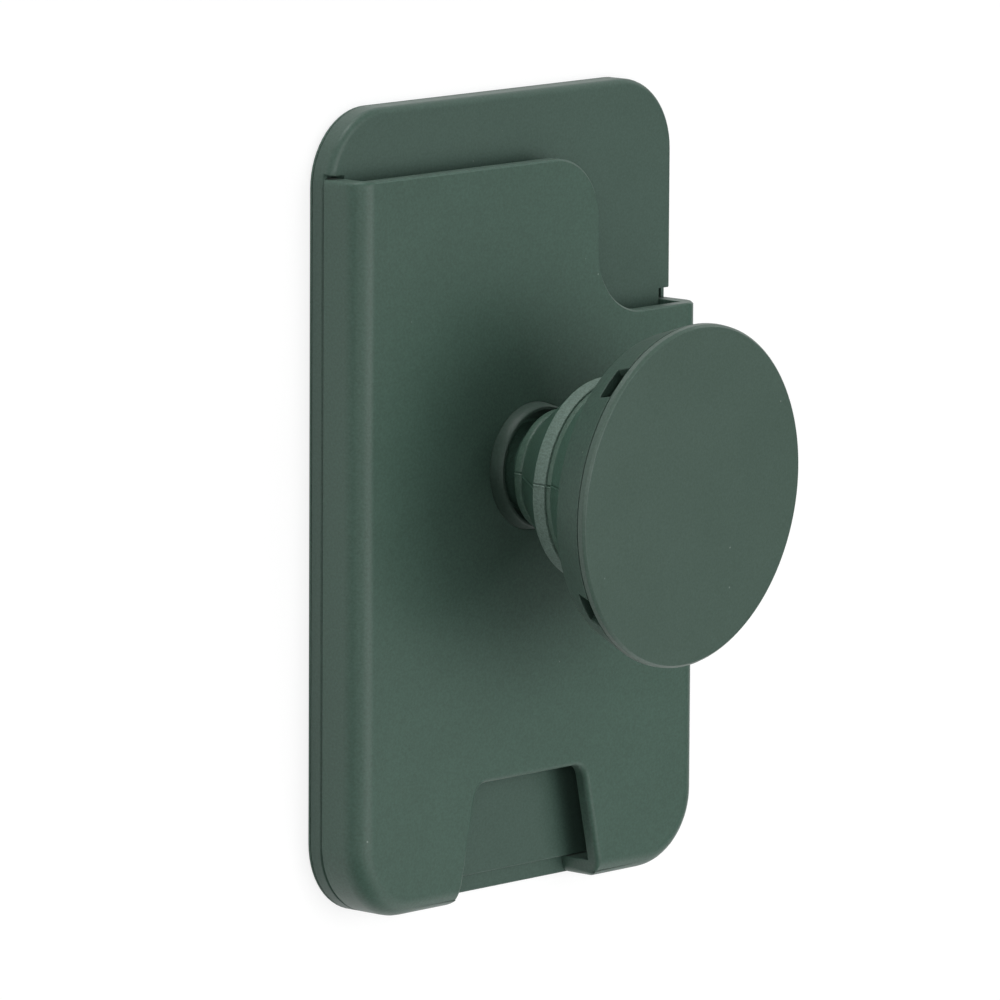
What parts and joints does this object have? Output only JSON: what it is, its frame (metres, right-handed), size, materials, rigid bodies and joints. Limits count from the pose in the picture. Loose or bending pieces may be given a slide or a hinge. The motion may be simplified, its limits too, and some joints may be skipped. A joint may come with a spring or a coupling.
{
  "type": "magnetic phone wallet",
  "caption": "Slim card wallet that clings to a phone's back by magnets, with a stepped card mouth, a thumb notch and a round finger grip on a collapsible accordion.",
  "frame": {"origin": "centre of the back face, the one that meets the phone", "axes": "+Z out of the wallet's front, +Y along its length towards the stepped mouth, +X to the right seen from the front"},
  "size_m": [0.06, 0.0952, 0.0337],
  "materials": {
    "skin_rubber": "soft matte",
    "tray_plastic": "soft-touch matte",
    "sleeve_rubber": "soft-touch matte, fine grain",
    "shield_steel": "cold-rolled strip",
    "magnet_plating": "bright nickel plating",
    "grip_plastic": "moulded, fine grain",
    "accordion_rubber": "smooth moulded, slightly glossy webs",
    "disc_plastic": "soft-touch matte"
  },
  "bodies": {
    "wallet": {"back_skin": "skin_rubber", "back_tray": "tray_plastic", "sleeve": "sleeve_rubber", "shield_ring": "shield_steel", "align_magnet": "magnet_plating", "grip_base": "grip_plastic", "base_cap": "grip_plastic", "ring_magnet_01": "magnet_plating", "ring_magnet_02": "magnet_plating", "ring_magnet_03": "magnet_plating", "ring_magnet_04": "magnet_plating", "ring_magnet_05": "magnet_plating", "ring_magnet_06": "magnet_plating", "ring_magnet_07": "magnet_plating", "ring_magnet_08": "magnet_plating", "ring_magnet_09": "magnet_plating", "ring_magnet_10": "magnet_plating", "ring_magnet_11": "magnet_plating", "ring_magnet_12": "magnet_plating", "ring_magnet_13": "magnet_plating", "ring_magnet_14": "magnet_plating", "ring_magnet_15": "magnet_plating", "ring_magnet_16": "magnet_plating", "ring_magnet_17": "magnet_plating", "ring_magnet_18": "magnet_plating"},
    "neck": {"accordion": "accordion_rubber"},
    "head": {"platform": "grip_plastic"},
    "top": {"disc": "disc_plastic"}
  },
  "joints": [
    {"name": "grip_lean", "type": "hinge", "parent": "wallet", "child": "neck", "pos_m": [0, 0.0038, 0.0082], "axis": [0.7071, 0.7071, 0], "range_deg": [-4.41, 0]},
    {"name": "grip_collapse", "type": "slide", "parent": "neck", "child": "head", "axis": [0.0542, -0.0542, 0.9971], "range_m": [-0.0165, 0], "deforming": ["accordion"]},
    {"name": "disc_twist", "type": "hinge", "parent": "head", "child": "top", "pos_m": [0, 0.0038, 0.0082], "axis": [0.0542, -0.0542, 0.9971], "range_deg": [0, 90]}
  ],
  "couplings": [
    {"joint": "grip_lean", "follows": "grip_collapse", "rad_per_m": 4.6542}
  ]
}
